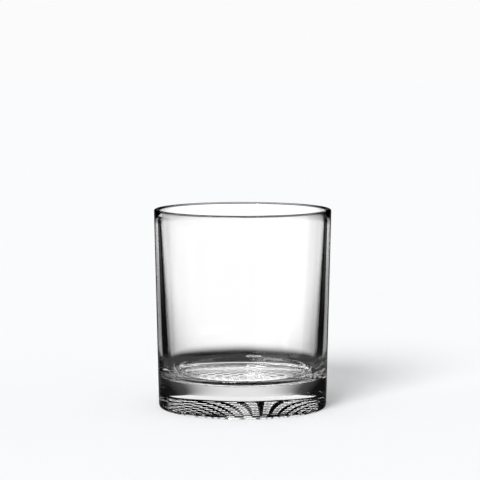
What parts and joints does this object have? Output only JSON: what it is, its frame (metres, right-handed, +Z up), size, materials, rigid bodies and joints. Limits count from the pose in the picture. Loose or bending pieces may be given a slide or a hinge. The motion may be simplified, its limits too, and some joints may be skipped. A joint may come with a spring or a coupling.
{
  "type": "whiskey tumbler",
  "caption": "Clear glass whiskey tumbler with a slight taper, a thick base and a lattice of small studs pressed under it; holds a short drink or ice.",
  "frame": {"origin": "centre of the circle that the glass stands on", "axes": "+Z up along the axis of the glass, towards the open rim"},
  "size_m": [0.0806, 0.0806, 0.0905],
  "materials": {
    "clear_glass": "polished, colourless soda-lime glass"
  },
  "bodies": {
    "root": {"tumbler_glass": "clear_glass"}
  },
  "joints": []
}
